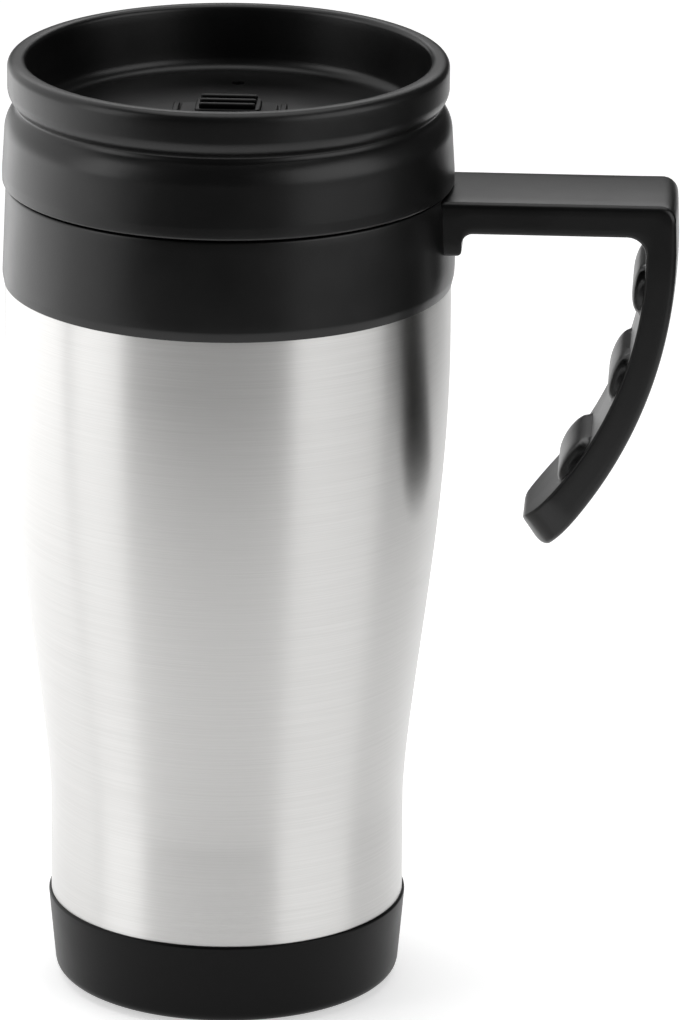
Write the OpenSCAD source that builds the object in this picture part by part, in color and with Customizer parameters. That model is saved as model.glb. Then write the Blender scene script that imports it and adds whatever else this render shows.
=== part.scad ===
// Insulated travel mug with a screw lid and an open handle.
// Millimetres, +Z up. The origin is at the centre of the foot, on the mug's axis.
// The handle points along +X. The lid unscrews anticlockwise seen from above.

/* [Shell] */
// Radius of the shell's straight foot
foot_r = 33.1; // [32.2:0.1:33.5]
// Radius of the shell under the collar
shell_top_r = 41.15; // [40.9:0.05:41.25]
// Wall of the steel shell
shell_t = 0.6; // [0.4:0.1:0.8]
// Height at which the shell starts to widen
taper_low_z = 35; // [26:1:42]
// Height at which the shell reaches its full width
taper_high_z = 125; // [110:1:130]

/* [Base cap] */
// Height of the ledge that the shell stands on
ledge_z = 16.5; // [14:0.5:17.5]
// How far the base cap stands out from the shell
cap_proud = 0.5; // [0.3:0.1:1]
// Radius of the rubber pad under the base
pad_r = 26; // [22:0.5:27]

/* [Collar] */
// Height of the collar's top edge
collar_top_z = 154.5; // [154.2:0.1:154.7]
// Height of the collar's bottom edge
collar_bottom_z = 135.9; // [135:0.1:136.5]
// Largest radius of the collar, near its bottom edge
collar_r = 41.6; // [41.5:0.05:42]
// Radius of the collar at its top edge
collar_top_r = 40.9; // [40.8:0.05:41.1]

/* [Lid] */
// Height of the lid's rim above the table
rim_z = 178; // [177.5:0.1:180]
// Height of the lid's bottom edge
lid_bottom_z = 154.9; // [154.8:0.05:155.1]
// Height of the recess floor
floor_z = 166; // [165.9:0.1:166.8]
// Thickness of the recess floor
floor_t = 2; // [1.8:0.1:2.2]
// Outer radius of the lid's bottom edge
lid_r = 41.55; // [41.3:0.05:42]
// Outer radius of the rim
rim_r = 40.5; // [40.2:0.05:41]
// Width of the drink hole, across the lid
drink_w = 15; // [10:0.5:15]
// Length of the drink hole, towards the rim
drink_l = 7; // [5:0.5:7]
// Distance from the axis to the middle of the drink hole
drink_y = 27.3; // [27:0.1:27.5]

/* [Thread] */
// Lift of the lid in one turn
lead = 4.2; // [3.8:0.1:4.2]
// Angle through which the ridge on the neck runs
neck_thread_deg = 330; // [300:6:336]
// Angle at which the lid's ridge starts, so the lid turns for the rest
lid_thread_start_deg = 30; // [30:6:60]
// Height of each ridge above its wall
ridge_h = 1.6; // [1.2:0.1:1.6]

/* [Handle] */
// Width of the handle, front to back
handle_w = 22; // [16:1:26]
// Thickness of the beam that joins the collar to the grip
beam_t = 6.2; // [5.4:0.1:7]
// Radius of the grip's outer edge
grip_outer_r = 84.5; // [83:0.5:88]
// Radius of the grip's inner edge
grip_inner_r = 71.35; // [69:0.05:72]
// Direction of the grip's lower end below the horizontal
tip_deg = 42.8; // [36:0.2:46]
// Height of the finger ridges at mid width
finger_h = 2.1; // [1:0.1:2.5]

/* [Slider] */
// Width of the thumb slider
slider_w = 18; // [16:0.5:18]
// Length of the thumb slider
slider_l = 26.4; // [25:0.2:27]
// How far the slider moves to cover the drink hole
slider_travel = 11; // [10:0.5:11]

/* [Hidden] */
$fn = 96;
plastic = [0.09, 0.09, 0.1];
steel = [0.76, 0.76, 0.77];
rubber = [0.2, 0.2, 0.21];
gap = 0.1;                                  // slack between pieces that only rest together
fit = 0.05;                                 // slack between pieces that are held together

// Steel shell and the air gap inside it
neck_in_z = collar_bottom_z + 3.4;          // the shell has stepped in by this height
shell_top_z = collar_bottom_z + 7.8;
neck_in_r = shell_top_r - 0.7;
shell_step = 0.2;                           // keeps the wall even where it slopes in
air_gap = 3;
liner_t = 1.6;
taper_power = 0.8;                          // below 1 it widens sooner than it straightens
taper_steps = 18;

// Liner
liner_bottom_z = 22;
liner_round = 4;
lip_round = 0.5;
neck_r = shell_top_r - shell_t - air_gap;
neck_inner_r = neck_r - liner_t;
lip_z = floor_z - floor_t - 0.8;
flange_z = collar_top_z - 1.1;
flange_top_z = collar_top_z - 0.2;
flange_r = collar_top_r - 1.1;

// Collar
seal_t = 0.7;
seat_z = flange_z - seal_t;
seat_r = 38.2;
seal_width_in = 0.7;                        // the seal stops this far outside the seat's edge
step_z = shell_top_z + 0.3;                 // the collar closes in above the shell's end
collar_round = 5;
collar_edge_round = 0.6;
collar_lip_deg = acos((shell_top_r + 0.15 - collar_r + collar_round) / collar_round);
collar_widest_z = collar_bottom_z + collar_round * sin(collar_lip_deg);

// Handle screws, driven outwards from inside the collar
screw_z = collar_top_z - 4.2;
screw_y = 6;
screw_r = 1.25;
screw_head_r = 2;
screw_head_x = 37.9;
screw_seat_x = 38.9;
screw_end_x = 46;
screw_tip_gap = 0.3;
screw_slot_w = 0.5;
screw_slot_l = 2.4;
screw_slot_d = 0.6;

// Base cap
pad_t = 2;
pad_proud = 0.8;
pad_bevel = 0.4;
cap_floor_z = 4;
cap_side_r = foot_r - 1.05;                 // foot of the cap's tapered side
cap_waist_r = foot_r - 0.1;                 // below the flare up to the ledge
cap_waist_z = ledge_z - 4.3;
cap_round = 2.6;
cap_bevel = 0.4;
spigot_r = foot_r - shell_t - 0.1;
spigot_t = 2.3;
spigot_inner_r = spigot_r - spigot_t;
spigot_z = 23;
oring_z = 19.5;
oring_r = 0.75;
groove_d = 1.6;                             // O-ring groove in the spigot
groove_h = 1.8;

// Lid
skirt_inner_r = neck_r + 2.1;
band_low_z = 157.2;                         // the band leans in above this height
band_top_r = lid_r - 0.45;
band_top_z = 164.4;
lid_edge_round = 0.5;
shoulder_r = 6.2;
shoulder_deg = 46.5;
groove_r = rim_r - 1.5;
groove_z = 169.45;
groove_round = 0.6;
rim_under_r = 3.6;
rim_under_deg = 48;
rim_under_z = 172.8;
rim_round = 1.7;
rim_inner_r = rim_r - 3.3;
rim_inner_round = 1;
recess_r = rim_r - 4.3;
recess_round = 2.4;
gasket_inner_r = neck_inner_r - 0.2;
gasket_outer_r = neck_r + 0.8;
gasket_top_z = floor_z - floor_t + 0.7;
gasket_gap = 0.2;                           // above the lip, until the lid is done up hard
vent_r = 1.2;
vent_y = 26;
rail_w = 1.2;
rail_h = 1.8;
rail_l = 39;
rail_front_y = -33;
rail_gap = 0.3;
bury = 0.5;                                 // depth that added features reach into their wall

// Thread ridges
thread_z = lid_bottom_z + 2.5;              // neck ridge at 0 degrees
thread_drop = 1.6;                          // the lid's ridge runs this far below the neck's
thread_root_w = 1.1;
thread_crest_w = 0.45;
thread_bury = 0.4;

// Slider, drawn with the drink hole open
slider_front_y = -21.2;
slider_t = 2;
slide_gap = 0.15;
rest_w = 12;                                // thumb rest with three ribs across it
rest_l = 9;
rest_y = -5;
rest_h = 1.2;
rib_ys = [-4, -1, 2];
rib_w = 1.2;
rib_h = 0.8;
pad_cell_x = 0.8;                           // pocket for the seal pad, in from the slider's sides
pad_cell_y = 0.2;
pad_cell_l = 9.7;
pad_cell_h = 0.9;
pad_slack = 0.05;
peg_r = 1.5;
peg_y = -8;
peg_slack = 0.3;
barb_r = peg_r + 0.6;
barb_h = 0.65;
clip_gap = 0.2;
clip_w = 10;
clip_l = 9;
clip_t = 1.65;

// Handle
outer_c = [-1.6, collar_top_z - 9];
inner_c = [5.7, collar_top_z - 9.9];
root_x = 38;                                // inside the collar's wall, before it is cut to fit
corner_r = 3;
inner_corner_r = 3.5;
root_round = 2;
tip_r = 2;
inner_tip_deg = tip_deg + 2.7;
tip_side_r = 7;                             // rounding of the tip seen from the finger side
tip_c = outer_c + (grip_outer_r - tip_r) * [cos(tip_deg), -sin(tip_deg)];
inner_tip_c = inner_c + (grip_inner_r + tip_r) * [cos(inner_tip_deg), -sin(inner_tip_deg)];
end_deg = atan2(inner_tip_c[1] - tip_c[1], inner_tip_c[0] - tip_c[0]) - 270;
tab_x = 43.4;
tab_z = collar_top_z - 10.4;
tab_round = 0.9;
finger_degs = [-5.5, -19.4, -34.2];
finger_r = 9;
finger_crown_r = 30;

function arc(c, r, from, to, n) = [for (i = [0 : n])
    let (a = from + (to - from) * i / n) [c[0] + r * cos(a), c[1] + r * sin(a)]];
function smooth(t) = t <= 0 ? 0 : t >= 1 ? 1 : t * t * (3 - 2 * t);
function shell_r(z) =
    let (t = max(0, min(1, (z - taper_low_z) / (taper_high_z - taper_low_z))))
    foot_r + (shell_top_r - foot_r) * smooth(pow(t, taper_power));
// Points down or up the tapered wall, offset inwards by d
function taper(d, from, to) = [for (i = [0 : taper_steps])
    let (z = from + (to - from) * i / taper_steps) [shell_r(z) - d, z]];

// A helical ridge on a round wall: root_r is just inside the wall, crest_r stands out from it
module thread_ridge(root_r, crest_r, from_deg, to_deg, start_z) {
    step = 6;
    n = round((to_deg - from_deg) / step);
    fade = 3;
    function point(i, k) =
        let (a = from_deg + i * step,
             grow = min(1, (i + 0.4) / fade, (n - i + 0.4) / fade),
             r = k == 0 || k == 3 ? root_r : root_r + (crest_r - root_r) * grow,
             w = [-thread_root_w, -thread_crest_w, thread_crest_w, thread_root_w][k])
        [r * cos(a), r * sin(a), start_z + lead * a / 360 + w];
    pts = [for (i = [0 : n], k = [0 : 3]) point(i, k)];
    sides = [for (i = [0 : n - 1], k = [0 : 3])
        let (a = 4 * i + k, b = 4 * i + (k + 1) % 4) [a, b, b + 4, a + 4]];
    ends = [[3, 2, 1, 0], [4 * n, 4 * n + 1, 4 * n + 2, 4 * n + 3]];
    // An outward ridge and an inward one wind their faces in opposite senses
    out = crest_r > root_r;
    faces = concat(sides, ends);
    polyhedron(pts, out ? faces : [for (f = faces) [for (i = [len(f) - 1 : -1 : 0]) f[i]]]);
}

module round_slot(w, l, h) {
    for (s = [-1, 1]) translate([s * (w - l) / 2, 0, 0]) cylinder(h = h, d = l, center = true);
    cube([w - l, l, h], center = true);
}

module outer_shell() color(steel) rotate_extrude() polygon(concat(
    [[foot_r, ledge_z]],
    taper(0, taper_low_z, taper_high_z),
    [[shell_top_r, collar_bottom_z + shell_step], [neck_in_r, neck_in_z], [neck_in_r, shell_top_z],
     [neck_in_r - shell_t, shell_top_z], [neck_in_r - shell_t, neck_in_z - shell_step],
     [shell_top_r - shell_t, collar_bottom_z]],
    taper(shell_t, taper_high_z, taper_low_z),
    [[foot_r - shell_t, ledge_z]]));

module inner_liner() color(plastic) union() {
    wall = shell_t + air_gap;
    bottom_r = foot_r - wall;
    rotate_extrude() polygon(concat(
        [[0, liner_bottom_z]],
        arc([bottom_r - liner_round, liner_bottom_z + liner_round], liner_round, -90, 0, 6),
        taper(wall, taper_low_z, taper_high_z),
        [[neck_r, flange_z], [flange_r, flange_z], [flange_r, flange_top_z],
         [neck_r, flange_top_z]],
        arc([neck_r - lip_round, lip_z - lip_round], lip_round, 0, 90, 3),
        arc([neck_inner_r + lip_round, lip_z - lip_round], lip_round, 90, 180, 3),
        taper(wall + liner_t, taper_high_z, taper_low_z),
        arc([bottom_r - liner_t - liner_round, liner_bottom_z + liner_t + liner_round],
            liner_round, 0, -90, 6),
        [[0, liner_bottom_z + liner_t]]));
    thread_ridge(neck_r - thread_bury, neck_r + ridge_h, 0, neck_thread_deg, thread_z);
}

// The collar's outer cone, carried past both ends, to cut the handle's root to fit it
module collar_cone(grow) {
    edge_z = collar_top_z - collar_edge_round;
    slope = (collar_r - collar_top_r) / (edge_z - collar_widest_z);
    rotate_extrude() polygon([[0, collar_widest_z], [collar_r + grow, collar_widest_z],
        [collar_top_r + grow - slope * 2, edge_z + 2], [0, edge_z + 2]]);
}

module collar() color(plastic) difference() {
    rotate_extrude() polygon(concat(
        [[shell_top_r + fit, collar_bottom_z]],
        arc([collar_r - collar_round, collar_widest_z], collar_round, -collar_lip_deg, 0, 4),
        arc([collar_top_r - collar_edge_round, collar_top_z - collar_edge_round],
            collar_edge_round, 0, 90, 4),
        [[flange_r + gap, collar_top_z], [flange_r + gap, seat_z], [seat_r, seat_z],
         [seat_r, step_z], [neck_in_r + fit, step_z],
         [neck_in_r + fit, neck_in_z + fit]]));
    for (s = [-1, 1]) translate([0, s * screw_y, screw_z]) rotate([0, 90, 0]) {
        cylinder(h = 2 * collar_r, r = screw_r + fit);
        cylinder(h = screw_seat_x, r = screw_head_r + gap);
    }
}

module handle_outline() {
    top = collar_top_z;
    under = top - beam_t;
    corner = [outer_c[0] + sqrt(pow(grip_outer_r - corner_r, 2)
                  - pow(top - corner_r - outer_c[1], 2)), top - corner_r];
    corner_deg = atan2(corner[1] - outer_c[1], corner[0] - outer_c[0]);
    hollow = [inner_c[0] + sqrt(pow(grip_inner_r - inner_corner_r, 2)
                  - pow(under - inner_corner_r - inner_c[1], 2)), under - inner_corner_r];
    hollow_deg = atan2(hollow[1] - inner_c[1], hollow[0] - inner_c[0]);
    polygon(concat(
        [[root_x, top]],
        arc(corner, corner_r, 90, corner_deg, 6),
        arc(outer_c, grip_outer_r, 0, -tip_deg, 14),
        arc(tip_c, tip_r, -tip_deg - 15, end_deg, 5),
        arc(inner_tip_c, tip_r, end_deg, -inner_tip_deg - 165, 5),
        arc(inner_c, grip_inner_r, -inner_tip_deg, hollow_deg, 14),
        arc(hollow, inner_corner_r, 15, 90, 5),
        arc([tab_x + root_round, under - root_round], root_round, 90, 180, 5),
        arc([tab_x - tab_round, tab_z + tab_round], tab_round, 0, -90, 4),
        [[root_x, tab_z]]));
}

module across(c) translate([c[0], 0, c[1]]) rotate([90, 0, 0]) children();

module finger_ridges() {
    for (a = finger_degs) intersection() {
        crest = grip_inner_r - finger_h;
        across(inner_c + (crest + finger_r) * [cos(a), sin(a)])
            cylinder(h = handle_w - 1, r = finger_r, center = true);
        across(inner_c + (crest + finger_crown_r) * [cos(a), sin(a)])
            sphere(r = finger_crown_r);
        across(outer_c) cylinder(h = handle_w, r = grip_outer_r - 2, center = true);
    }
}

// What rounds off the two corners of the grip's lower end
module tip_corners() {
    end = tip_c + tip_r * [cos(end_deg), sin(end_deg)];
    for (s = [0, 1]) mirror([0, s, 0]) translate([end[0], 0, end[1]]) rotate([0, -end_deg, 0])
        translate([-tip_side_r, handle_w / 2 - tip_side_r, 0]) difference() {
            translate([0, 0, -10]) cube([tip_side_r + 1, tip_side_r + 1, 20]);
            cylinder(h = 22, r = tip_side_r, center = true);
        }
}

module handle() color(plastic) difference() {
    union() {
        rotate([90, 0, 0]) linear_extrude(height = handle_w, center = true) handle_outline();
        finger_ridges();
    }
    collar_cone(fit);
    tip_corners();
    for (s = [-1, 1]) translate([0, s * screw_y, screw_z]) rotate([0, 90, 0])
        cylinder(h = screw_end_x + screw_tip_gap, r = screw_r + gap / 3);
}

module handle_screws() color(steel)
    for (s = [-1, 1]) translate([0, s * screw_y, screw_z]) rotate([0, 90, 0]) difference() {
        union() {
            translate([0, 0, screw_head_x])
                cylinder(h = screw_seat_x - screw_head_x, r = screw_head_r);
            translate([0, 0, screw_head_x]) cylinder(h = screw_end_x - screw_head_x, r = screw_r);
        }
        for (turn = [0, 90]) rotate(turn) translate([0, 0, screw_head_x])
            cube([screw_slot_l, screw_slot_w, 2 * screw_slot_d], center = true);
    }

module collar_seal() color(rubber) translate([0, 0, seat_z]) difference() {
    cylinder(h = seal_t, r = flange_r - gap);
    translate([0, 0, -1]) cylinder(h = seal_t + 2, r = seat_r + seal_width_in);
}

module base_cap() color(plastic) rotate_extrude() polygon(concat(
    [[0, pad_t], [pad_r + gap, pad_t], [pad_r + gap, pad_proud]],
    arc([cap_side_r - cap_round, pad_proud + cap_round], cap_round, -90, 0, 6),
    [[cap_waist_r, cap_waist_z],
     [foot_r + cap_proud, ledge_z - cap_bevel], [foot_r + cap_proud - cap_bevel, ledge_z],
     [spigot_r, ledge_z], [spigot_r, oring_z - groove_h / 2],
     [spigot_r - groove_d, oring_z - groove_h / 2], [spigot_r - groove_d, oring_z + groove_h / 2],
     [spigot_r, oring_z + groove_h / 2], [spigot_r, spigot_z - cap_bevel],
     [spigot_r - cap_bevel, spigot_z], [spigot_inner_r, spigot_z],
     [spigot_inner_r, cap_floor_z + 1], [spigot_inner_r - 1, cap_floor_z], [0, cap_floor_z]]));

module base_seal() color(rubber) rotate_extrude()
    translate([spigot_r - oring_r, oring_z]) circle(r = oring_r, $fn = 32);

module foot_pad() color(rubber) rotate_extrude() polygon([
    [0, 0], [pad_r - pad_bevel, 0], [pad_r, pad_bevel], [pad_r, pad_t], [0, pad_t]]);

module lid_body() color(plastic) difference() {
    union() {
        rotate_extrude() polygon(concat(
            [[skirt_inner_r, lid_bottom_z]],
            arc([lid_r - lid_edge_round, lid_bottom_z + lid_edge_round], lid_edge_round, -90, 0, 4),
            [[lid_r, band_low_z]],
            arc([band_top_r - shoulder_r, band_top_z], shoulder_r, 0, shoulder_deg, 7),
            arc([groove_r + groove_round, groove_z], groove_round, 215, 145, 3),
            arc([rim_r - rim_under_r, rim_under_z], rim_under_r, -rim_under_deg, 0, 6),
            arc([rim_r - rim_round, rim_z - rim_round], rim_round, 0, 90, 5),
            arc([rim_inner_r + rim_inner_round, rim_z - rim_inner_round], rim_inner_round,
                90, 180, 4),
            arc([recess_r - recess_round, floor_z + recess_round], recess_round, 0, -90, 5),
            [[0, floor_z], [0, floor_z - floor_t],
             [gasket_inner_r - gap, floor_z - floor_t], [gasket_inner_r - gap, gasket_top_z + gap],
             [gasket_outer_r + gap, gasket_top_z + gap], [gasket_outer_r + gap, floor_z - floor_t],
             [skirt_inner_r, floor_z - floor_t]]));
        thread_ridge(skirt_inner_r + thread_bury, skirt_inner_r - ridge_h, lid_thread_start_deg,
            neck_thread_deg, thread_z - thread_drop);
        // Rails on each side of the slider
        for (s = [-1, 1])
            translate([s * (slider_w / 2 + rail_gap + rail_w / 2) - rail_w / 2, rail_front_y,
                       floor_z - bury])
                cube([rail_w, rail_l, rail_h + bury]);
    }
    translate([0, -drink_y, floor_z]) round_slot(drink_w, drink_l, 3 * floor_t);
    slot_l = slider_travel + 2 * (peg_r + peg_slack);
    translate([0, peg_y - slider_travel / 2, floor_z]) rotate(90)
        round_slot(slot_l, 2 * (peg_r + peg_slack), 3 * floor_t);
    translate([0, vent_y, floor_z]) cylinder(h = 3 * floor_t, r = vent_r, center = true);
}

module lid_gasket() color(rubber) rotate_extrude() polygon([
    [gasket_inner_r, lip_z + gasket_gap], [gasket_outer_r, lip_z + gasket_gap],
    [gasket_outer_r, gasket_top_z], [gasket_inner_r, gasket_top_z]]);

module lid_slider() color(plastic) translate([0, 0, floor_z + slide_gap]) difference() {
    union() {
        translate([-slider_w / 2, slider_front_y, 0]) cube([slider_w, slider_l, slider_t]);
        translate([-rest_w / 2, rest_y, slider_t - bury]) cube([rest_w, rest_l, rest_h + bury]);
        for (y = rib_ys) translate([-rest_w / 2, y, slider_t + rest_h - bury])
            cube([rest_w, rib_w, rib_h + bury]);
        // Peg through the floor, with a barb under the clip
        clip_z = -slide_gap - floor_t - clip_gap - clip_t;
        translate([0, peg_y, clip_z - barb_h]) cylinder(h = slider_t / 2 + barb_h - clip_z, r = peg_r);
        translate([0, peg_y, clip_z - barb_h - slide_gap]) cylinder(h = barb_h, r = barb_r);
    }
    translate([-slider_w / 2 + pad_cell_x, slider_front_y + pad_cell_y, -1])
        cube([slider_w - 2 * pad_cell_x, pad_cell_l, 1 + pad_cell_h]);
}

module slider_seal() color(rubber) translate([0, 0, floor_z + slide_gap])
    translate([-slider_w / 2 + pad_cell_x + pad_slack, slider_front_y + pad_cell_y + pad_slack, 0])
        cube([slider_w - 2 * (pad_cell_x + pad_slack), pad_cell_l - 2 * pad_slack, pad_cell_h]);

module slider_clip() color(plastic)
    translate([0, peg_y, floor_z - floor_t - clip_gap - clip_t]) difference() {
        translate([-clip_w / 2, -clip_l / 2, 0]) cube([clip_w, clip_l, clip_t]);
        translate([0, 0, -1]) cylinder(h = clip_t + 2, r = peg_r + fit);
    }

outer_shell();
inner_liner();
collar();
handle();
handle_screws();
collar_seal();
base_cap();
base_seal();
foot_pad();
lid_body();
lid_gasket();
lid_slider();
slider_seal();
slider_clip();
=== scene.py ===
import math

import bmesh
import bpy
from mathutils import Matrix, Vector


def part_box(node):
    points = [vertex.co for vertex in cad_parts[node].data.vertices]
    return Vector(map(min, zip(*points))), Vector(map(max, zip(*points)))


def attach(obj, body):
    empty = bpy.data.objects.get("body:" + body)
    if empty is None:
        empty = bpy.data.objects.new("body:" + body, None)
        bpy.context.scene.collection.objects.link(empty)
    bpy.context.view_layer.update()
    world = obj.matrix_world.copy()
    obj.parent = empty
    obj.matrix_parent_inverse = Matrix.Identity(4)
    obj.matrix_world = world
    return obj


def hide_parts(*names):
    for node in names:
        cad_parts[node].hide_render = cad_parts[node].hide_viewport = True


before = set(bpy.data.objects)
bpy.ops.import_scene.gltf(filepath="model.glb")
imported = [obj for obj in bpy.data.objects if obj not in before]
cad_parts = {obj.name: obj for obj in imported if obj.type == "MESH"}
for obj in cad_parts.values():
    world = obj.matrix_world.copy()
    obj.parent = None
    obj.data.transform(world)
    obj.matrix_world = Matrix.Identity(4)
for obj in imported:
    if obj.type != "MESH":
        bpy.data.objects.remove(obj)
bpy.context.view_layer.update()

MM = 0.001

# ---------------------------------------------------------------- sizes, in millimetres


def span(node):
    """Lowest and highest corner of a CAD node, in millimetres."""
    low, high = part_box(node)
    return low / MM, high / MM


shell_low, shell_high = span("outer_shell")
collar_low, collar_high = span("collar")
cap_low, cap_high = span("base_cap")
lid_low, lid_high = span("lid_body")
liner_low, liner_high = span("inner_liner")
grip_high = span("handle")[1]
pad_high = span("foot_pad")[1]
slider_low, slider_high = span("lid_slider")

SHELL_T = 0.6                      # wall of the steel shell
SHELL_TOP_R = shell_high.y
NECK_STEP_H = 3.4                  # the shell narrows over this height, inside the collar
NECK_STEP_IN = 0.7                 # and by this much
CAP_R = cap_high.y
CAP_PROUD = 0.5                    # the base stands this far out from the shell
FOOT_R = CAP_R - CAP_PROUD
LEDGE_Z = shell_low.z              # the shell stands on the base cap here
TAPER_LOW_Z, TAPER_HIGH_Z = 35, 125
TAPER_POWER = 0.8                  # below 1 the shell widens sooner than it straightens
LINER_GAP = 3                      # air between the shell and the liner
LINER_T = 1.6
NECK_R = SHELL_TOP_R - SHELL_T - LINER_GAP
THREAD_LEAD = 4.2
THREAD_H = 1.6
THREAD_FLAT = 0.45                 # half the width of a thread ridge's crest
THREAD_FLANK = 0.65                # width of each of its flanks
THREAD_FADE_DEG = 16               # a ridge rises over this much of a turn at each end
RECESS_FLOOR_Z = lid_high.z - 12
RECESS_FLOOR_T = 2
TURNS = 240                        # steps round the axis on a turned piece
ARC_STEP_DEG = 12                  # longest step along a rounded corner
SHARP_DEG = 40                     # a fold steeper than this is shaded as an edge


def smooth(t):
    """An eased step: 0 up to t = 0, 1 from t = 1, and a slope without kinks between them."""
    t = min(1, max(0, t))
    return t * t * (3 - 2 * t)


def spaced(start, end, steps):
    """Evenly spaced numbers from start to end, both included."""
    return [start + (end - start) * k / steps for k in range(steps + 1)]


def shell_r(z):
    """Outer radius of the steel shell at a height below its straight top."""
    t = min(1, max(0, (z - TAPER_LOW_Z) / (TAPER_HIGH_Z - TAPER_LOW_Z)))
    return FOOT_R + (SHELL_TOP_R - FOOT_R) * smooth(t ** TAPER_POWER)


# ---------------------------------------------------------------- mesh helpers


def rounded(points, closed=True, longest=1.6):
    """Outline through (x, y, radius) corners. Round corners become arcs, and sides are divided
    so that no step is longer than longest."""
    out = []
    count = len(points)
    for i, (x, y, radius) in enumerate(points):
        here = Vector((x, y))
        if radius <= 0 or (not closed and i in (0, count - 1)):
            out.append(here)
            continue
        before = Vector(points[i - 1][:2]) - here
        after = Vector(points[(i + 1) % count][:2]) - here
        half = before.angle(after) / 2
        back = min(radius / math.tan(half), before.length * 0.49, after.length * 0.49)
        radius = back * math.tan(half)
        middle = here + (before.normalized() + after.normalized()).normalized() * (
            radius / math.sin(half))
        start = here + before.normalized() * back - middle
        turn = start.angle_signed(here + after.normalized() * back - middle)
        steps = max(2, round(abs(math.degrees(turn)) / ARC_STEP_DEG))
        for k in range(steps + 1):
            a = -turn * k / steps
            out.append(middle + Vector((start.x * math.cos(a) - start.y * math.sin(a),
                                        start.x * math.sin(a) + start.y * math.cos(a))))
    dense = []
    for i, p in enumerate(out):
        dense.append(p)
        if i == len(out) - 1 and not closed:
            break
        q = out[(i + 1) % len(out)]
        steps = math.ceil((q - p).length / longest)
        dense += [p.lerp(q, k / steps) for k in range(1, steps)]
    return dense


def on_arc(centre, radius, degrees):
    """The point on a circle at an angle from its x axis."""
    a = math.radians(degrees)
    return centre + Vector((radius * math.cos(a), radius * math.sin(a)))


def arc(x, y, radius, start_deg, end_deg, steps):
    """Corners along an arc, in the form that rounded() takes."""
    centre = Vector((x, y))
    return [(*on_arc(centre, radius, turn), 0) for turn in spaced(start_deg, end_deg, steps)]


def shade(mesh):
    """Smooth shading, with sharp edges where the mesh folds."""
    mesh.shade_smooth()
    mesh.set_sharp_from_angle(angle=math.radians(SHARP_DEG))


def finish_mesh(name, bm):
    """Makes a new object of a bmesh, with its normals outwards."""
    bmesh.ops.recalc_face_normals(bm, faces=bm.faces)
    mesh = bpy.data.meshes.new(name)
    bm.to_mesh(mesh)
    bm.free()
    piece = bpy.data.objects.new(name, mesh)
    bpy.context.scene.collection.objects.link(piece)
    shade(mesh)
    return piece


def turned(name, outline, shape=None, closed=True, turns=TURNS):
    """Turns a (radius, height) outline round +Z. A point on the axis stays a single point, and
    shape(r, z, angle) may move the others in or out."""
    bm = bmesh.new()
    rings = []
    for p in outline:
        if p.x < 1e-6:
            rings.append([bm.verts.new((0, 0, p.y * MM))])
            continue
        ring = []
        for k in range(turns):
            a = 2 * math.pi * k / turns
            r = shape(p.x, p.y, a) if shape else p.x
            ring.append(bm.verts.new((r * MM * math.cos(a), r * MM * math.sin(a), p.y * MM)))
        rings.append(ring)
    pairs = list(zip(rings, rings[1:]))
    if closed and len(rings[0]) > 1 and len(rings[-1]) > 1:
        pairs.append((rings[-1], rings[0]))
    for one, two in pairs:
        if len(one) == 1 and len(two) == 1:
            continue
        for k in range(turns):
            j = (k + 1) % turns
            if len(one) == 1:
                bm.faces.new((one[0], two[k], two[j]))
            elif len(two) == 1:
                bm.faces.new((one[k], two[0], one[j]))
            else:
                bm.faces.new((one[k], two[k], two[j], one[j]))
    return finish_mesh(name, bm)


def slab(name, outline, low_z, high_z, edge):
    """An upright plate with a rounded edge all round, from a closed (x, y) outline."""
    bm = bmesh.new()
    verts = [bm.verts.new((p.x * MM, p.y * MM, low_z * MM)) for p in outline]
    face = bm.faces.new(verts)
    grown = bmesh.ops.extrude_face_region(bm, geom=[face])
    top = [v for v in grown["geom"] if isinstance(v, bmesh.types.BMVert)]
    bmesh.ops.translate(bm, verts=top, vec=(0, 0, (high_z - low_z) * MM))
    rim = [e for e in bm.edges if abs(e.verts[0].co.z - e.verts[1].co.z) < 1e-7]
    bmesh.ops.bevel(bm, geom=rim, offset=edge * MM, segments=4, profile=0.5, affect="EDGES")
    return finish_mesh(name, bm)


def box_outline(x0, y0, x1, y1, radius):
    """A rectangle with rounded corners."""
    return rounded([(x0, y0, radius), (x1, y0, radius), (x1, y1, radius), (x0, y1, radius)],
                   longest=4)


def cut(piece, cutters):
    """Subtracts the cutters from the piece, removes them and rounds the steep edges."""
    for cutter in cutters:
        hole = piece.modifiers.new("hole", "BOOLEAN")
        hole.operation = "DIFFERENCE"
        hole.solver = "EXACT"
        hole.object = cutter
    bevel = piece.modifiers.new("edge", "BEVEL")         # of the folds over its angle limit
    bevel.width = 0.35 * MM
    bevel.segments = 3
    bevel.limit_method = "ANGLE"
    bevel.angle_limit = math.radians(70)
    bpy.context.view_layer.update()
    evaluated = piece.evaluated_get(bpy.context.evaluated_depsgraph_get())
    mesh = bpy.data.meshes.new_from_object(evaluated)
    piece.modifiers.clear()
    piece.data = mesh
    for cutter in cutters:
        bpy.data.objects.remove(cutter)
    shade(mesh)
    return piece


# ---------------------------------------------------------------- materials


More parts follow.
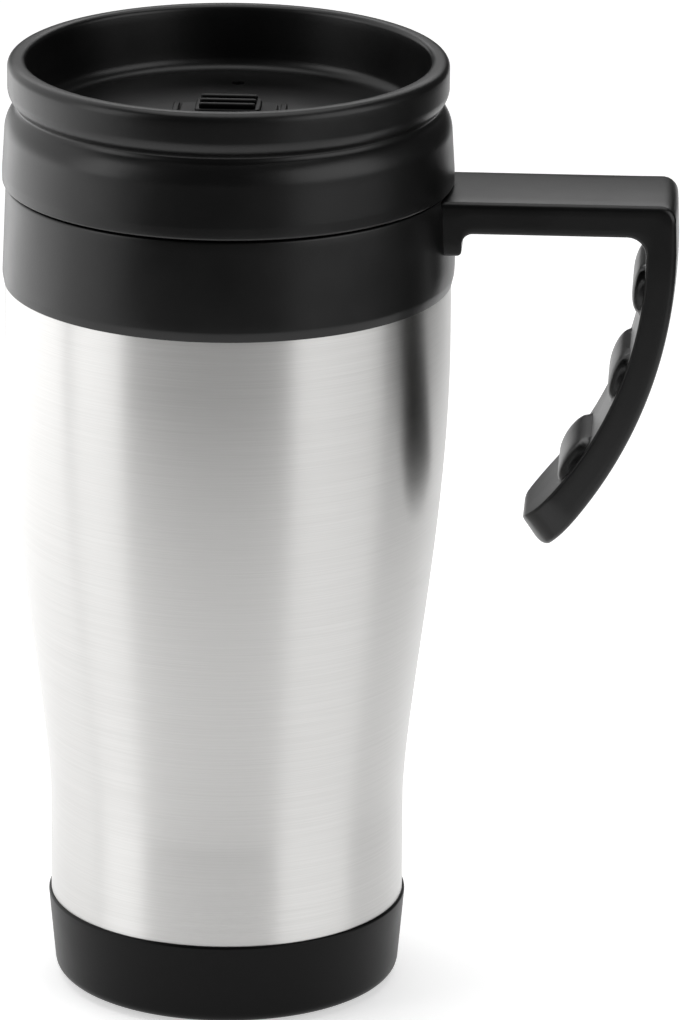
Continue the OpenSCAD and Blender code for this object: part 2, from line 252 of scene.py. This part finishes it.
class Nodes:
    """A material's node tree, with short calls to add and link its nodes."""

    def __init__(self, name):
        self.material = bpy.data.materials.new(name)
        self.material.use_nodes = True
        self.tree = self.material.node_tree
        self.tree.nodes.clear()
        out = self.tree.nodes.new("ShaderNodeOutputMaterial")
        self.shader = self.tree.nodes.new("ShaderNodeBsdfPrincipled")
        self.tree.links.new(self.shader.outputs[0], out.inputs[0])
        self.place = self.tree.nodes.new("ShaderNodeTexCoord").outputs["Object"]

    def set(self, **values):
        """Sets the shader's own sockets, each named with _ for a space."""
        for key, value in values.items():
            self.shader.inputs[key.replace("_", " ")].default_value = value

    def link(self, source, socket):
        self.tree.links.new(source, self.shader.inputs[socket])

    def stretched(self, x, y, z):
        """The place in the object, scaled along each axis: a higher number is finer."""
        node = self.tree.nodes.new("ShaderNodeMapping")
        node.inputs["Scale"].default_value = (x, y, z)
        self.tree.links.new(self.place, node.inputs["Vector"])
        return node.outputs[0]

    def noise(self, scale, detail, vector=None):
        """Noise with about scale features in a metre, or in one unit of the vector."""
        node = self.tree.nodes.new("ShaderNodeTexNoise")
        node.inputs["Scale"].default_value = scale
        node.inputs["Detail"].default_value = detail
        self.tree.links.new(vector or self.place, node.inputs["Vector"])
        return node.outputs["Fac"]

    def ramp(self, source, low, high, from_low=0.3, from_high=0.7):
        """Spreads the middle of a noise's range over low to high."""
        node = self.tree.nodes.new("ShaderNodeMapRange")
        node.inputs["From Min"].default_value = from_low
        node.inputs["From Max"].default_value = from_high
        node.inputs["To Min"].default_value = low
        node.inputs["To Max"].default_value = high
        self.tree.links.new(source, node.inputs["Value"])
        return node.outputs[0]

    def math(self, kind, a, b):
        node = self.tree.nodes.new("ShaderNodeMath")
        node.operation = kind
        for socket, value in zip(node.inputs, (a, b)):
            if isinstance(value, (int, float)):
                socket.default_value = value
            else:
                self.tree.links.new(value, socket)
        return node.outputs[0]

    def mix(self, factor, one, two):
        """Colour that goes from one to two as the factor goes from 0 to 1."""
        node = self.tree.nodes.new("ShaderNodeMix")
        node.data_type = "RGBA"
        node.inputs["A"].default_value = (*one, 1)
        node.inputs["B"].default_value = (*two, 1)
        self.tree.links.new(factor, node.inputs["Factor"])
        return node.outputs["Result"]

    def bump(self, height, depth_mm):
        node = self.tree.nodes.new("ShaderNodeBump")
        node.inputs["Distance"].default_value = depth_mm * MM
        self.tree.links.new(height, node.inputs["Height"])
        self.link(node.outputs[0], "Normal")


def tinted(colour, factor):
    return tuple(c * factor for c in colour)


def moulded_plastic(name, colour, roughness, grain_mm=0.35, grain_depth=0.012, gloss=0.42):
    """Moulded plastic: a fine spark grain, over patches about 2 cm across that differ slightly
    in colour and in roughness."""
    n = Nodes(name)
    patches = n.noise(55, 3)
    n.link(n.mix(n.ramp(patches, 0, 1), tinted(colour, 0.8), tinted(colour, 1.25)), "Base Color")
    n.link(n.ramp(patches, roughness - 0.04, roughness + 0.05), "Roughness")
    n.set(IOR=1.49, Specular_IOR_Level=gloss)
    n.bump(n.noise(1 / (grain_mm * MM), 4), grain_depth)
    return n.material


def brushed_steel(name):
    """Stainless steel brushed round the axis: hair-fine lines with broader, fainter streaks.
    The highlights spread up and down the wall, across the brushing."""
    n = Nodes(name)
    hair = n.noise(1, 3, n.stretched(50, 50, 6500))
    streak = n.noise(1, 2, n.stretched(20, 20, 1500))
    brush = n.math("ADD", n.math("MULTIPLY", hair, 0.8), n.math("MULTIPLY", streak, 0.2))
    low, high = 0.35, 0.65                # the part of the mixed noise's range that is used
    dark, pale = (0.585, 0.58, 0.57), (0.64, 0.635, 0.625)
    n.link(n.mix(n.ramp(brush, 0, 1, low, high), dark, pale), "Base Color")
    n.link(n.ramp(brush, 0.32, 0.38, low, high), "Roughness")
    n.set(Metallic=1.0, Anisotropic=0.9, Anisotropic_Rotation=0.25)
    tangent = n.tree.nodes.new("ShaderNodeTangent")
    tangent.direction_type = "RADIAL"
    tangent.axis = "Z"
    n.link(tangent.outputs[0], "Tangent")
    n.bump(brush, 0.003)
    return n.material


def rubber(name, colour, roughness):
    """Matte elastomer with a fine powdery surface."""
    n = Nodes(name)
    bloom = n.noise(140, 4)
    n.link(n.mix(n.ramp(bloom, 0, 1), colour, tinted(colour, 1.6)), "Base Color")
    n.link(n.ramp(bloom, roughness - 0.06, roughness + 0.06), "Roughness")
    n.bump(n.noise(2200, 3), 0.01)
    return n.material


def plated_steel(name):
    """Zinc-plated screw steel with small tool marks."""
    n = Nodes(name)
    marks = n.noise(900, 4)
    dark, pale = (0.5, 0.5, 0.52), (0.68, 0.68, 0.7)
    n.link(n.mix(n.ramp(marks, 0, 1), dark, pale), "Base Color")
    n.link(n.ramp(marks, 0.25, 0.42), "Roughness")
    n.set(Metallic=1.0)
    n.bump(marks, 0.01)
    return n.material


BLACK = (0.0012, 0.0012, 0.00125)
body_plastic = moulded_plastic("black_moulded_plastic", BLACK, 0.33)
matte_plastic = moulded_plastic("black_matte_plastic", BLACK, 0.36, gloss=0.14)
liner_plastic = moulded_plastic("black_liner_plastic", BLACK, 0.38, grain_mm=0.5,
                                grain_depth=0.006)
slider_plastic = moulded_plastic("black_slider_plastic", BLACK, 0.42, grain_mm=0.3,
                                 grain_depth=0.014, gloss=0.16)
steel = brushed_steel("brushed_stainless")
seal_rubber = rubber("seal_rubber", (0.03, 0.03, 0.031), 0.7)
screw_steel = plated_steel("screw_steel")


def dress(piece, material, body, slot, *nodes):
    """Gives a new piece its material and the body it rides on, and hides the CAD node it stands
    for, if it stands for one. The name of its material slot is not used."""
    piece.data.materials.clear()
    piece.data.materials.append(material)
    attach(piece, body)
    if nodes:
        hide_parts(*nodes)
    return piece


# ---------------------------------------------------------------- mug body


def make_shell():
    """Steel tube of an even wall, which steps in where the collar goes over it."""
    step_z = collar_low.z
    neck_z = step_z + NECK_STEP_H
    top_z = shell_high.z
    neck_r = SHELL_TOP_R - NECK_STEP_IN
    bend, lip = 0.8, 0.25                 # rounding of the step's bends and of the top edge
    lag = 0.2                             # the inside bends this much lower than the outside
    steps = spaced(LEDGE_Z, TAPER_HIGH_Z, 90)
    outline = rounded(
        [(shell_r(z), z, 0) for z in steps]
        + [(SHELL_TOP_R, step_z + lag, bend), (neck_r, neck_z, bend), (neck_r, top_z, lip),
           (neck_r - SHELL_T, top_z, lip), (neck_r - SHELL_T, neck_z - lag, bend),
           (SHELL_TOP_R - SHELL_T, step_z, bend)]
        + [(shell_r(z) - SHELL_T, z, 0) for z in reversed(steps)])
    return dress(turned("steel_shell", outline), steel, "mug", "brushed_steel", "outer_shell")


def helix_ridge(z, angle, start_z, from_deg, to_deg):
    """Height, 0 to 1, of a thread ridge at a point on a round wall. The ridge starts at start_z
    for an angle of 0, and it is there only between its two angles."""
    best = 0
    turn = math.degrees(angle) % 360
    for lap in (turn, turn + 360):
        if from_deg <= lap <= to_deg:
            fade = smooth(min(lap - from_deg, to_deg - lap) / THREAD_FADE_DEG)
            off = abs(z - start_z - THREAD_LEAD * lap / 360)
            best = max(best, fade * (1 - smooth((off - THREAD_FLAT) / THREAD_FLANK)))
    return best


THREAD_FROM_Z = lid_low.z + 0.6       # lowest row of points on a threaded wall
THREAD_ROW = 0.3                      # height between the rows
NECK_THREAD_ROWS, LID_THREAD_ROWS = 24, 28
NECK_THREAD = dict(start_z=lid_low.z + 2.5, from_deg=0, to_deg=330)
LID_THREAD = dict(start_z=lid_low.z + 0.9, from_deg=30, to_deg=330)


def thread_rows(count):
    """Heights of the rows, from the lowest up."""
    return [THREAD_FROM_Z + THREAD_ROW * k for k in range(count)]


def make_liner():
    """Cup that holds the drink, with a flange on the collar and a threaded neck above it."""
    wall = SHELL_T + LINER_GAP
    bottom, top = liner_low.z, liner_high.z
    steps = spaced(TAPER_LOW_Z + 2, TAPER_HIGH_Z, 50)
    flange_r = liner_high.y
    flange_low, flange_high = collar_high.z - 1.1, collar_high.z - 0.2
    floor_round, root, edge, lip = 4, 0.3, 0.2, 0.7       # roundings, from the foot up
    outline = rounded(
        [(0, bottom, 0), (FOOT_R - wall, bottom, floor_round)]
        + [(shell_r(z) - wall, z, 0) for z in steps]
        + [(NECK_R, flange_low, root), (flange_r, flange_low, edge),
           (flange_r, flange_high, edge), (NECK_R, flange_high, root)]
        + [(NECK_R, z, 0) for z in thread_rows(NECK_THREAD_ROWS)]
        + [(NECK_R, top, lip), (NECK_R - LINER_T, top, lip)]
        + [(shell_r(z) - wall - LINER_T, z, 0) for z in reversed(steps)]
        + [(FOOT_R - wall - LINER_T, bottom + LINER_T, floor_round), (0, bottom + LINER_T, 0)],
        closed=False)

    def ridge(r, z, angle):
        if abs(r - NECK_R) > 0.1 or z < lid_low.z:
            return r
        return r + THREAD_H * helix_ridge(z, angle, **NECK_THREAD)

    piece = turned("liner_cup", outline, ridge, closed=False)
    return dress(piece, liner_plastic, "mug", "liner_plastic", "inner_liner")


def make_collar():
    """Ring over the top of the shell, widest near its foot, with a seat for the liner's flange."""
    low, high = collar_low.z, collar_high.z
    lip_r = SHELL_TOP_R + 0.15
    wide_r, wide_z = collar_high.y, low + 1.7
    top_r = wide_r - 0.7
    rim_r = top_r - 0.9
    seat_r, seat_z = 38.2, high - 1.8
    roof_z = shell_high.z + 0.3
    neck_r = SHELL_TOP_R - NECK_STEP_IN + 0.05
    neck_z = low + NECK_STEP_H
    outline = rounded([
        (lip_r - 0.1, low, 0), (lip_r, low, 0.05), (wide_r, wide_z, 2.5), (top_r, high, 0.6),
        (rim_r, high, 0.2), (rim_r, seat_z, 0), (seat_r, seat_z, 0.2), (seat_r, roof_z, 0.2),
        (neck_r, roof_z, 0), (neck_r, neck_z, 0.4)])
    swell, swell_deg, fade_deg = 0.35, 24, 7              # height, and half the angle it takes
    fade_low, fade_high = 5, 2            # heights over which it fades at the foot and the top

    def pad(r, z, angle):
        """A slight swelling round the handle's root."""
        if r < top_r - 0.5:
            return r
        side = abs((math.degrees(angle) + 180) % 360 - 180)
        rise = smooth((z - low) / fade_low) * smooth((high - z) / fade_high)
        return r + swell * smooth((swell_deg - side) / fade_deg) * rise

    return dress(turned("collar_ring", outline, pad), body_plastic, "mug", "black_plastic",
                 "collar")


def make_base():
    """Cup under the shell, with a spigot up into it, a groove for the O-ring round the spigot
    and a shallow well for the foot pad."""
    low, high = cap_low.z, cap_high.z
    well_r, well_z = pad_high.y + 0.1, pad_high.z
    spigot_r = FOOT_R - SHELL_T - 0.1
    spigot_in = spigot_r - 2.3
    groove_in = spigot_r - 1.6
    ring_z, groove_half = LEDGE_Z + 3, 0.9
    groove_low, groove_high = ring_z - groove_half, ring_z + groove_half
    floor_z = low + 3.5
    outline = rounded([
        (0, well_z, 0), (well_r, well_z, 0.2), (well_r, low, 0.2),
        (CAP_R - 1.4, low, 2.2), (CAP_R - 0.35, LEDGE_Z - 4.3, 12), (CAP_R, LEDGE_Z - 0.3, 0.5),
        (FOOT_R + 0.2, LEDGE_Z, 0.1), (spigot_r, LEDGE_Z, 0),
        (spigot_r, groove_low, 0), (groove_in, groove_low, 0),
        (groove_in, groove_high, 0), (spigot_r, groove_high, 0),
        (spigot_r, high, 0.4), (spigot_in, high, 0.4), (spigot_in, floor_z, 1), (0, floor_z, 0)],
        closed=False)
    return dress(turned("base_cap_shell", outline, closed=False), matte_plastic, "mug",
                 "black_plastic", "base_cap")


def make_foot_pad():
    """Round rubber pad with shallow rings moulded into its underside."""
    pad_r, top = pad_high.y, pad_high.z
    corners = [(0, top, 0), (pad_r, top, 0.1), (pad_r, 0, 0.5)]
    rings, pitch, first = 6, 2.6, 1.5     # the first ring is 1.5 in from the edge
    deep, slope, width, edge = 0.35, 0.3, 1.2, 0.2        # of each ring's groove
    for k in range(rings):
        r = pad_r - first - pitch * k
        corners += [(r, 0, edge), (r - slope, deep, edge), (r - width + slope, deep, edge),
                    (r - width, 0, edge)]
    corners.append((0, 0, 0))
    outline = rounded(corners, closed=False)
    return dress(turned("foot_pad_ribbed", outline, closed=False), seal_rubber, "mug",
                 "seal_rubber", "foot_pad")


# ---------------------------------------------------------------- handle

HANDLE_TOP_Z = grip_high.z
HANDLE_UNDER_Z = HANDLE_TOP_Z - 6.2
HANDLE_HALF = grip_high.y
HANDLE_ROOT_X = 38.5
TAB_X = 43.4                       # lower corner of the root, where it lies on the collar
TAB_Z = HANDLE_TOP_Z - 10.4
TAB_ROUND = 0.9
TAB_FILLET = 2                     # between the root and the beam's underside
BEAM_X = 48                        # the beam has its plain section from here
CORNER_OUT, CORNER_IN = 3, 3.5     # roundings of the corner between the beam and the grip
OUTER_C = Vector((-1.6, HANDLE_TOP_Z - 9))     # centre of the arc of the grip's outside
OUTER_R = 84.5
INNER_C = Vector((5.7, HANDLE_TOP_Z - 9.9))    # and of its finger side
INNER_R = 71.35
TIP_R = 2                          # rounding of the tip, seen from the side
TIP_CORNER = 9                     # and seen from its end
TIP_DEG = -42.8                    # where the tip is on the outside
INNER_TIP_DEG = -45.5              # and on the finger side
FINGER_DEGS = (-5.5, -19.4, -34.2)  # where the finger ridges are on it
FINGER_SPREAD_DEG = 3.9            # half the width of each
FINGER_H = 2.1
EDGE_OUT = 1.1                     # rounding of the edges along the outside of the handle
EDGE_IN = 0.6                      # rounding of the edges on the finger side
CROWN = 0.3                        # how much higher the outside is along its middle
ACROSS = 24                        # steps over the width of the finger side
ARC_DEG = 15                       # step along the handle's small arcs


def along(points, count):
    """count points evenly spaced along a polyline."""
    lengths = [0]
    for p, q in zip(points, points[1:]):
        lengths.append(lengths[-1] + (q - p).length)
    out = []
    for k in range(count):
        want = lengths[-1] * k / (count - 1)
        i = max(j for j in range(len(points) - 1) if lengths[j] <= want + 1e-9)
        share = (want - lengths[i]) / max(1e-9, lengths[i + 1] - lengths[i])
        out.append(points[i].lerp(points[i + 1], min(1, share)))
    return out


def handle_rungs():
    """Pairs of outer and inner points down the handle, from the collar to the tip, with the
    inner point's direction from the grip's centre where there can be finger ridges. The points
    along the top are spread so that no two rungs cross."""
    top, under = HANDLE_TOP_Z, HANDLE_UNDER_Z
    rungs = [(Vector((x, top)), Vector((x, TAB_Z)), None) for x in (HANDLE_ROOT_X, 40.5, 41.5)]
    tab = Vector((TAB_X - TAB_ROUND, TAB_Z + TAB_ROUND))
    fillet = Vector((TAB_X + TAB_FILLET, under - TAB_FILLET))
    for k in range(7):
        inner = on_arc(tab, TAB_ROUND, -90 + ARC_DEG * k)
        rungs.append((Vector((42.1 + 0.2 * k, top)), inner, None))
    for k in range(7):
        inner = on_arc(fillet, TAB_FILLET, 180 - ARC_DEG * k)
        rungs.append((Vector((43.6 + 0.5 * k, top)), inner, None))
    hollow = Vector((INNER_C.x + INNER_R - CORNER_IN, under - CORNER_IN))
    for x in spaced(BEAM_X, hollow.x - 1, 14):
        rungs.append((Vector((x, top)), Vector((x, under)), None))
    corner_z = top - CORNER_OUT
    reach = math.sqrt((OUTER_R - CORNER_OUT) ** 2 - (corner_z - OUTER_C.y) ** 2)
    corner = Vector((reach + OUTER_C.x, corner_z))
    outside = [Vector((hollow.x, top))]
    outside += [on_arc(corner, CORNER_OUT, turn) for turn in spaced(90, 4, 12)]
    outside.append(on_arc(OUTER_C, OUTER_R, 0))
    inside = [on_arc(hollow, CORNER_IN, turn) for turn in spaced(90, 0, 12)]
    rungs += [(a, b, None) for a, b in zip(along(outside, 22), along(inside, 22))]
    for t in spaced(0, 1, 88)[1:]:
        a, b = TIP_DEG * t, INNER_TIP_DEG * t
        rungs.append((on_arc(OUTER_C, OUTER_R, a), on_arc(INNER_C, INNER_R, b), b))
    tip = on_arc(OUTER_C, OUTER_R - TIP_R, TIP_DEG)
    inner_tip = on_arc(INNER_C, INNER_R + TIP_R, INNER_TIP_DEG)
    end = inner_tip - tip
    end_deg = math.degrees(math.atan2(end.y, end.x)) + 90
    inner_deg = INNER_TIP_DEG + 180
    for t in spaced(0, 1, 12)[1:]:
        rungs.append((on_arc(tip, TIP_R, TIP_DEG + (end_deg - 360 - TIP_DEG) * t),
                      on_arc(inner_tip, TIP_R, inner_deg + (end_deg - inner_deg) * t), None))
    return rungs


def finger_height(direction, y):
    """Height of the finger ridges, which run across the handle and drop steeply at its sides."""
    if direction is None:
        return 0
    sideways = abs(y / (HANDLE_HALF - EDGE_IN)) ** 10
    near = min(((direction - peak) / FINGER_SPREAD_DEG) ** 2 for peak in FINGER_DEGS)
    return FINGER_H * math.sqrt(max(0, 1 - near - sideways))


def handle_section(depth, half, direction):
    """Outline of the handle across one rung, as (y, height above the finger side): the finger
    side, one side, the outside and the other side."""
    finger_side = []
    for k in range(ACROSS + 1):
        y = -(half - EDGE_IN) * math.cos(math.pi * k / ACROSS)
        finger_side.append((y, -finger_height(direction, y)))
    near, far = Vector((half - EDGE_IN, EDGE_IN)), Vector((half - EDGE_OUT, depth - EDGE_OUT))
    side = [on_arc(near, EDGE_IN, -90 + ARC_DEG * k) for k in range(1, 6)]
    side += [Vector((half, near.y + (far.y - near.y) * share)) for share in (0, 0.25, 0.5, 0.75)]
    side += [on_arc(far, EDGE_OUT, ARC_DEG * k) for k in range(7)]
    outside = [((half - EDGE_OUT) * (1 - k / 4), depth) for k in range(1, 8)]
    section = (finger_side + [(y, u) for y, u in side] + outside
               + [(-y, u) for y, u in reversed(side)])
    return [(y, u - CROWN * (y / HANDLE_HALF) ** 2 if u > depth / 2 else u) for y, u in section]


def make_handle():
    """Lofts the sections down the rungs. The handle narrows to a round end at its tip."""
    rungs = handle_rungs()
    end_a, end_b = rungs[-1][0], rungs[-1][1]
    end_normal = (end_a - end_b).orthogonal().normalized()
    if end_normal.dot(end_b - rungs[-20][1]) < 0:
        end_normal.negate()
    bm = bmesh.new()
    rings = []
    for outer, inner, direction in rungs:
        depth = (outer - inner).length
        up = (outer - inner).normalized()
        middle = (outer + inner) / 2
        to_end = (end_a - middle).dot(end_normal)
        half = HANDLE_HALF
        if to_end < TIP_CORNER:
            from_centre = TIP_CORNER - max(0, to_end)
            half -= TIP_CORNER - math.sqrt(max(0, TIP_CORNER ** 2 - from_centre ** 2))
        rings.append([bm.verts.new(((inner.x + up.x * u) * MM, y * MM, (inner.y + up.y * u) * MM))
                      for y, u in handle_section(depth, half, direction)])
    for one, two in zip(rings, rings[1:]):
        for k in range(len(one)):
            j = (k + 1) % len(one)
            bm.faces.new((one[k], one[j], two[j], two[k]))
    bm.faces.new(rings[0])
    bm.faces.new(rings[-1])
    return dress(finish_mesh("handle_grip", bm), body_plastic, "mug", "black_plastic", "handle")


# ---------------------------------------------------------------- lid

LID_R = lid_high.y
RIM_R = LID_R - 1.05
SHOULDER_R = 6.2                   # rounding of the shoulder in section
GROOVE_R = 0.6                     # of the groove above it
BEAD_R = 3.6                       # and of the bead under the rim


def lid_cutter(name, half, front, back):
    """A hole with round ends, from front to back, right through the recess's floor."""
    least, past = 0.01, 1                 # a side is never quite nothing
    ends = min(half, (back - front) / 2) - least
    return slab(name, box_outline(-half, front, half, back, ends),
                RECESS_FLOOR_Z - RECESS_FLOOR_T - past, RECESS_FLOOR_Z + past, least)


def make_lid():
    """Lid with a shoulder, a groove and a bead outside, a recess in its top, and a threaded skirt
    and a gasket's groove underneath."""
    rim_z = lid_high.z
    low_z = lid_low.z
    floor_z = RECESS_FLOOR_Z
    under_z = floor_z - RECESS_FLOOR_T
    skirt_r = NECK_R + 2.1
    gasket_high = span("lid_gasket")[1]
    gasket_in = NECK_R - LINER_T - 0.3
    gasket_out = gasket_high.y + 0.1
    gasket_z = gasket_high.z + 0.1
    wall, wall_foot = 3.3, 4.3            # of the recess, at the rim and at its floor
    outline = rounded(
        [(skirt_r, low_z, 0.2), (LID_R, low_z, 0.5), (LID_R, low_z + 2.3, 6)]
        + arc(LID_R - 0.45 - SHOULDER_R, low_z + 9.5, SHOULDER_R, 0, 46.5, 12)
        + arc(RIM_R - 0.9, low_z + 14.55, GROOVE_R, 215, 145, 6)
        + arc(RIM_R - BEAD_R, low_z + 17.9, BEAD_R, -48, 0, 12)
        + [(RIM_R, rim_z, 1.7), (RIM_R - wall, rim_z, 1.0), (RIM_R - wall_foot, floor_z, 2.4),
           (0, floor_z, 0), (0, under_z, 0), (gasket_in, under_z, 0), (gasket_in, gasket_z, 0),
           (gasket_out, gasket_z, 0), (gasket_out, under_z, 0), (skirt_r, under_z, 0.3)]
        + [(skirt_r, z, 0) for z in reversed(thread_rows(LID_THREAD_ROWS))])

    def ridge(r, z, angle):
        if abs(r - skirt_r) > 0.05 or z > under_z - 1 or z < low_z + 0.3:
            return r
        return r - THREAD_H * helix_ridge(z, angle, **LID_THREAD)

    # The outline meets the axis at the middle of the floor. It is put in order to start there.
    start = min(range(len(outline)), key=lambda i: (outline[i].x, -outline[i].y))
    outline = outline[start:] + outline[:start]
    if outline[1].x < 1e-6:
        outline = outline[1:] + outline[:1]
    piece = turned("lid_shell", outline, ridge, closed=False)
    cutters = [lid_cutter("hole_cutter", 7.5, -30.8, -23.8),     # the drink hole
               lid_cutter("slot_cutter", 1.8, -20.8, -6.2),      # the slider's peg runs in it
               lid_cutter("vent_cutter", 1.2, 24.8, 27.2)]
    return dress(cut(piece, cutters), body_plastic, "lid", "black_plastic", "lid_body")


def make_rails():
    """Two low rails on the recess's floor, one on each side of the slider."""
    gap, width, front, back = 0.3, 1.2, -33, 6            # the gap is to the slider
    sunk, height = 0.3, 1.8
    for side, name in ((-1, "lid_rail_left"), (1, "lid_rail_right")):
        x0 = side * (slider_high.x + gap)
        x1 = x0 + side * width
        outline = box_outline(min(x0, x1), front, max(x0, x1), back, 0.5)
        piece = slab(name, outline, RECESS_FLOOR_Z - sunk, RECESS_FLOOR_Z + height, 0.35)
        dress(piece, matte_plastic, "lid", "black_plastic")


def make_slider():
    """Plate with a raised rest and three ribs for the thumb, and a peg down through the floor."""
    low = RECESS_FLOOR_Z + 0.15
    plate_z, rest_z = low + 2, low + 3.1  # tops of the plate and of the rest
    sunk = 0.2                            # each part starts inside the one under it
    front, back, half = slider_low.y, slider_high.y, slider_high.x
    plate = slab("slider_plate", box_outline(-half, front, half, back, 2.2), low, plate_z, 0.45)
    dress(plate, slider_plastic, "slider", "slider_plastic", "lid_slider")
    outline = box_outline(-6, -5, 6, 4, 1.6)
    rest = slab("slider_thumb_rest", outline, plate_z - sunk, rest_z, 0.4)
    dress(rest, slider_plastic, "slider", "slider_plastic")
    rib_half, rib_width = 5.2, 1.2
    for k, y in enumerate((-4, -1, 2)):
        outline = box_outline(-rib_half, y, rib_half, y + rib_width, 0.58)
        rib = slab(f"slider_rib_{k + 1}", outline, rest_z - sunk, slider_high.z, 0.35)
        dress(rib, slider_plastic, "slider", "slider_plastic")
    foot, head, top = slider_low.z, slider_low.z + 0.65, low + 1
    peg_r, head_r, peg_y = 1.5, 2.1, -8
    peg = turned("slider_peg", rounded([
        (0, foot, 0), (head_r, foot, 0.5), (head_r, head, 0.1), (peg_r, head, 0),
        (peg_r, top, 0), (0, top, 0)], closed=False), closed=False, turns=48)
    peg.data.transform(Matrix.Translation((0, peg_y * MM, 0)))
    dress(peg, slider_plastic, "slider", "slider_plastic")


make_shell()
make_liner()
make_collar()
make_base()
make_foot_pad()
make_handle()
make_lid()
make_rails()
make_slider()

# The hidden small parts keep their CAD meshes and get the same materials.
for node, material in (("handle_screws", screw_steel), ("collar_seal", seal_rubber),
                       ("base_seal", seal_rubber), ("lid_gasket", seal_rubber),
                       ("slider_seal", seal_rubber), ("slider_clip", liner_plastic)):
    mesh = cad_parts[node].data
    mesh.materials.clear()
    mesh.materials.append(material)

# ---------------------------------------------------------------- studio, in metres


def add_floor():
    """A light table. Its top shows in reflections, and the wide pale surround does not, so the
    plastic reflects darkness from the front."""
    n = Nodes("pale_floor")
    n.set(Base_Color=(0.9, 0.9, 0.9, 1), Roughness=0.9, Specular_IOR_Level=0.1,
          Emission_Color=(1, 1, 1, 1), Emission_Strength=0.5)
    below = -0.0004                       # the surround lies just under the table's top
    for name, left, front, right, back, z in (("studio_floor", -4, -4, 4, 4, below),
                                              ("studio_table_top", -3, -0.36, 0.35, 3, 0)):
        bm = bmesh.new()
        bm.faces.new([bm.verts.new((x, y, z)) for x, y in (
            (left, front), (right, front), (right, back), (left, back))])
        floor = finish_mesh(name, bm)
        floor.data.materials.append(n.material)
        floor.visible_glossy = z == 0


def add_light(name, place, size, radiance, aim):
    """A soft rectangular light, as bright as radiance says whatever its size."""
    data = bpy.data.lights.new(name, "AREA")
    data.shape = "RECTANGLE"
    data.size, data.size_y = size
    data.energy = radiance * math.pi * size[0] * size[1]
    light = bpy.data.objects.new(name, data)
    light.location = place
    light.rotation_euler = (Vector(aim) - Vector(place)).to_track_quat("-Z", "Y").to_euler()
    light.visible_camera = False
    bpy.context.scene.collection.objects.link(light)


def add_panel(name, from_deg, to_deg, low, high, radiance, distance=1.2):
    """An upright softbox facing the mug. Angles run from the front towards the right."""
    middle = math.radians((from_deg + to_deg) / 2)
    half = math.radians(abs(to_deg - from_deg) / 2)
    z = (low + high) / 2
    place = (distance * math.sin(middle), -distance * math.cos(middle), z)
    add_light(name, place, (2 * distance * math.tan(half), high - low), radiance, (0, 0, z))


def add_world():
    """A dim even fill."""
    world = bpy.data.worlds.new("studio")
    bpy.context.scene.world = world
    world.use_nodes = True
    back = world.node_tree.nodes["Background"]
    back.inputs["Color"].default_value = (1, 1, 1, 1)
    back.inputs["Strength"].default_value = 0.06


def add_camera():
    """Long lens, looking down at the mug, with the handle turned slightly towards it."""
    distance, height = 1.4, 0.5516
    turn, yaw, pitch, roll = (math.radians(d) for d in (4, 0.856, 18.216, 0.396))
    ahead = Vector((math.sin(yaw) * math.cos(pitch), math.cos(yaw) * math.cos(pitch),
                    -math.sin(pitch)))
    right = Vector((math.cos(yaw), -math.sin(yaw), 0))
    up = right.cross(ahead)
    x_axis = right * math.cos(roll) + up * math.sin(roll)
    y_axis = up * math.cos(roll) - right * math.sin(roll)
    pose = Matrix((x_axis, y_axis, -ahead)).transposed().to_4x4()
    pose.translation = Vector((0, -distance, height))
    data = bpy.data.cameras.new("camera")
    data.lens = 279.4
    data.sensor_width = 36
    data.clip_end = 20
    camera = bpy.data.objects.new("camera", data)
    camera.matrix_world = Matrix.Rotation(turn, 4, "Z") @ pose
    bpy.context.scene.collection.objects.link(camera)
    bpy.context.scene.camera = camera


add_floor()
add_world()
add_panel("left_softbox", -150, -84, low=0.005, high=0.7, radiance=1.15, distance=0.36)
add_panel("left_fill", -81, -50, low=0.02, high=1.2, radiance=2.3)
add_panel("right_softbox", 36, 88, low=0.02, high=1.2, radiance=1.8)
add_panel("back_softbox", 150, 210, low=0.85, high=2.1, radiance=1.6, distance=2)
add_light("top_softbox", place=(0.1, 0.3, 1.9), size=(1.8, 1.6), radiance=1.7, aim=(0.1, 0.3, 0))
add_camera()
bpy.context.scene.view_settings.view_transform = "Standard"
